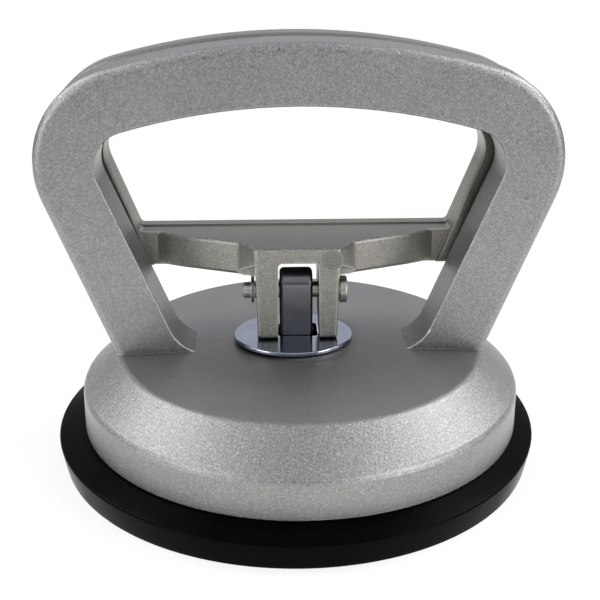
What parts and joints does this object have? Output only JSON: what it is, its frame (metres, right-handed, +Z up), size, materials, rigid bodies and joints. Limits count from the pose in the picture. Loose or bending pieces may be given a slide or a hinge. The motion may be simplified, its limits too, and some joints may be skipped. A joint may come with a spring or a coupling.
{
  "type": "floor tile suction lifter",
  "caption": "Hand suction lifter for floor tiles: rubber pad, cast body with arched handle, and a pull lever whose fork cams on a washer and draws the pad up by a square bar.",
  "frame": {"origin": "middle of the footprint, on the surface that the pad seals against", "axes": "+Z up through the body; X along the handle; the lever lies on the +Y side of the fixed handle and opens towards +Y"},
  "size_m": [0.1252, 0.1218, 0.1029],
  "materials": {
    "body_aluminium": "die cast and shot blasted, unpainted",
    "lever_aluminium": "die cast and shot blasted, a little darker and warmer than the body",
    "plated_steel": "bright plated steel",
    "spring_steel": "dark spring steel",
    "insert_steel": "plain steel, bonded in rubber",
    "black_rubber": "matte moulded black rubber"
  },
  "bodies": {
    "body": {"body_casting": "body_aluminium", "pressure_washer": "plated_steel", "rubber_pad": "black_rubber"},
    "drawbar": {"drawbar": "plated_steel", "pad_insert_plate": "insert_steel", "pivot_pin": "plated_steel", "pin_clip": "spring_steel"},
    "lever": {"lever_casting": "lever_aluminium"}
  },
  "joints": [
    {"name": "drawbar_lift", "type": "slide", "parent": "body", "child": "drawbar", "axis": [0, 0, 1], "range_m": [-0.0029, 0], "deforming": ["rubber_pad"]},
    {"name": "lever_pivot", "type": "hinge", "parent": "drawbar", "child": "lever", "pos_m": [-0.001, 0, 0.0409], "axis": [-1, 0, 0], "range_deg": [0, 40]}
  ],
  "couplings": [
    {"joint": "lever_pivot", "follows": "drawbar_lift", "rad_per_m": -240.74}
  ]
}
